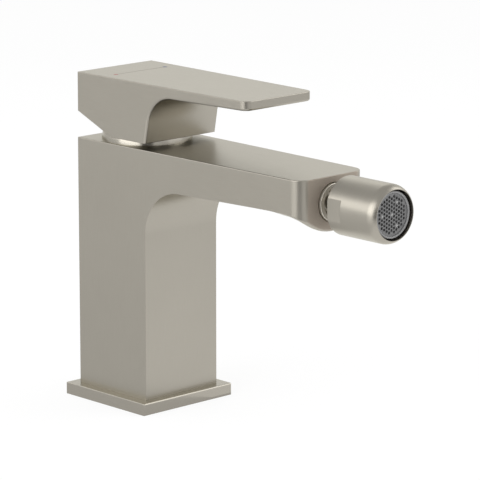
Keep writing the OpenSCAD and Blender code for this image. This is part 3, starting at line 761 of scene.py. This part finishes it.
def rim_tree():
    """A flat honeycomb of small hexagonal rims inside a circle, without the closed places."""
    tree, given = new_tree("honeycomb_rims", ("Pitch", "Hole", "Wire", "Radius", "Nub ring"))
    points = staggered_points(tree, given["Pitch"])
    spot = Wire.of(tree, "GeometryNodeInputPosition")
    reach = vector_maths(tree, "LENGTH", {0: spot}, "Value")
    outside = reach.maths("GREATER_THAN", given["Radius"])
    centre = reach.maths("LESS_THAN", given["Pitch"] / 2)
    points = without(tree, points, outside + centre)
    for turn in nub_turns:
        away = (math.cos(math.radians(turn)), math.sin(math.radians(turn)), 0)
        nub = vector_maths(tree, "SCALE", {0: away, "Scale": given["Nub ring"]}, "Vector")
        gap = vector_maths(tree, "DISTANCE", {0: spot, 1: nub}, "Value")
        points = without(tree, points, gap.maths("LESS_THAN", given["Pitch"] / 2))
    rim = swept(tree, circle(tree, hexagon, given["Hole"]), lip_sides, given["Wire"])
    rims = Wire.of(tree, "GeometryNodeInstanceOnPoints", {}, {"Points": points, "Instance": rim})
    close_tree(tree, rims, given, FORWARD, (grid_face, 0, nozzle_axis))
    return tree


hole_r = (grid_pitch - grid_wall) / 2
nub_ring = 2 * math.sqrt(3) * grid_pitch
rim_sizes = {
    "Pitch": grid_pitch * MM,
    "Hole": (hole_r + lip_out) * MM,
    "Wire": lip_r * MM,
    "Radius": (grid_r - grid_edge - grid_pitch / 2) * MM,
    "Nub ring": nub_ring * MM,
}
grown("honeycomb_rims", rim_tree(), rim_sizes, finishes["dark_plastic"], "nozzle")

# %% [markdown]
# ### Nubs and bead
# Four places in the honeycomb are closed by low, shiny domes, one in the middle and three round it. Each
# is a ball that is pressed flat, placed on the points of a triangle and on its middle. The cup's rim ends
# in a round bead, a circle that is swept round a larger one.

# %% Nubs
nub_r, nub_rise = 0.62, 0.45
nub_segments, nub_rings = 16, 8


def nub_tree():
    """One low dome in the middle and a ring of three more."""
    tree, given = new_tree("aerator_nubs", ("Nub", "Rise", "Nub ring"))
    triangle = {"Vertices": len(nub_turns), "Radius": given["Nub ring"]}
    ring = Wire.of(tree, "GeometryNodeMeshCircle", {}, triangle)
    turn = {"Geometry": ring, "Rotation": Euler((0, 0, QUARTER / 3))}
    turned_ring = Wire.of(tree, "GeometryNodeTransform", {}, turn)
    middle_point = Wire.of(tree, "GeometryNodeMeshLine", {}, {"Count": 1})
    both = Wire.of(tree, "GeometryNodeJoinGeometry", {}, {"Geometry": [turned_ring, middle_point]})
    round_ball = {"Segments": nub_segments, "Rings": nub_rings, "Radius": given["Nub"]}
    ball = Wire.of(tree, "GeometryNodeMeshUVSphere", {}, round_ball)
    squash = {"X": 1.0, "Y": 1.0, "Z": given["Rise"] / given["Nub"]}
    flat = Wire.of(tree, "ShaderNodeCombineXYZ", {}, squash)
    spots = {"Points": both, "Instance": ball, "Scale": flat}
    nubs = Wire.of(tree, "GeometryNodeInstanceOnPoints", {}, spots)
    smooth = Wire.of(tree, "GeometryNodeSetShadeSmooth", {}, {0: nubs})
    close_tree(tree, smooth, given, FORWARD, (grid_face, 0, nozzle_axis))
    return tree


nub_sizes = {"Nub": nub_r * MM, "Rise": nub_rise * MM, "Nub ring": nub_ring * MM}
grown("aerator_nubs", nub_tree(), nub_sizes, finishes["pale_plastic"], "nozzle")

# %% Cup bead
bead_ring, bead_r, bead_rise = 9.8, 0.5, 0.3
bead_steps, bead_sides = 96, 12


def bead_tree():
    """A round bead on the rim of the aerator's cup."""
    tree, given = new_tree("cup_bead", ("Ring", "Bead"))
    bead = swept(tree, circle(tree, bead_steps, given["Ring"]), bead_sides, given["Bead"])
    smooth = Wire.of(tree, "GeometryNodeSetShadeSmooth", {}, {0: bead})
    close_tree(tree, smooth, given, FORWARD, (grid_face + bead_rise, 0, nozzle_axis))
    return tree


bead_sizes = {"Ring": bead_ring * MM, "Bead": bead_r * MM}
grown("cup_bead", bead_tree(), bead_sizes, finishes["grey_plastic"], "nozzle")

# %% [markdown]
# ### Threads
# Two hoses and a fixing stud screw into the underside. In CAD their holes are plain, so a ridge is wound
# into each, a small round wire along a spiral. It starts a little inside the mouth and ends before the
# bottom. One tree serves all three, because the record gives each hole's place, radius and depth.

# %% Threads
thread_pitch, ridge_r, thread_start = 1.0, 0.35, 1
turn_steps, ridge_sides, turns_left_out = 32, 6, 2


def thread_tree():
    """A ridge that winds up the wall of a hole, from its mouth."""
    tree, given = new_tree("thread", ("Radius", "Pitch", "Depth", "Ridge"))
    turns = given["Depth"] / given["Pitch"] - turns_left_out
    path = {
        "Resolution": turn_steps,
        "Rotations": turns,
        "Start Radius": given["Radius"],
        "End Radius": given["Radius"],
        "Height": turns * given["Pitch"],
    }
    spiral = Wire.of(tree, "GeometryNodeCurveSpiral", {}, path)
    thread = swept(tree, spiral, ridge_sides, given["Ridge"], True)
    close_tree(tree, thread, given, (0, 0, 0), (0, 0, 0))
    return tree


threads, brass = thread_tree(), finishes["bare_brass"]
for mount in frame["record"]["mounts"]:
    if mount["kind"] != "threaded_hole":
        continue
    hole = mount["dims"]
    sizes = {"Radius": hole["r_mm"], "Pitch": thread_pitch, "Depth": hole["length_mm"], "Ridge": ridge_r}
    thread_sizes = {size: value * MM for size, value in sizes.items()}
    piece = grown(mount["name"] + "_thread", threads, thread_sizes, brass, "mixer_body")
    for vertex in piece.data.vertices:
        vertex.co += Vector(mount["pos_m"]) + Vector((0, 0, thread_start * MM))
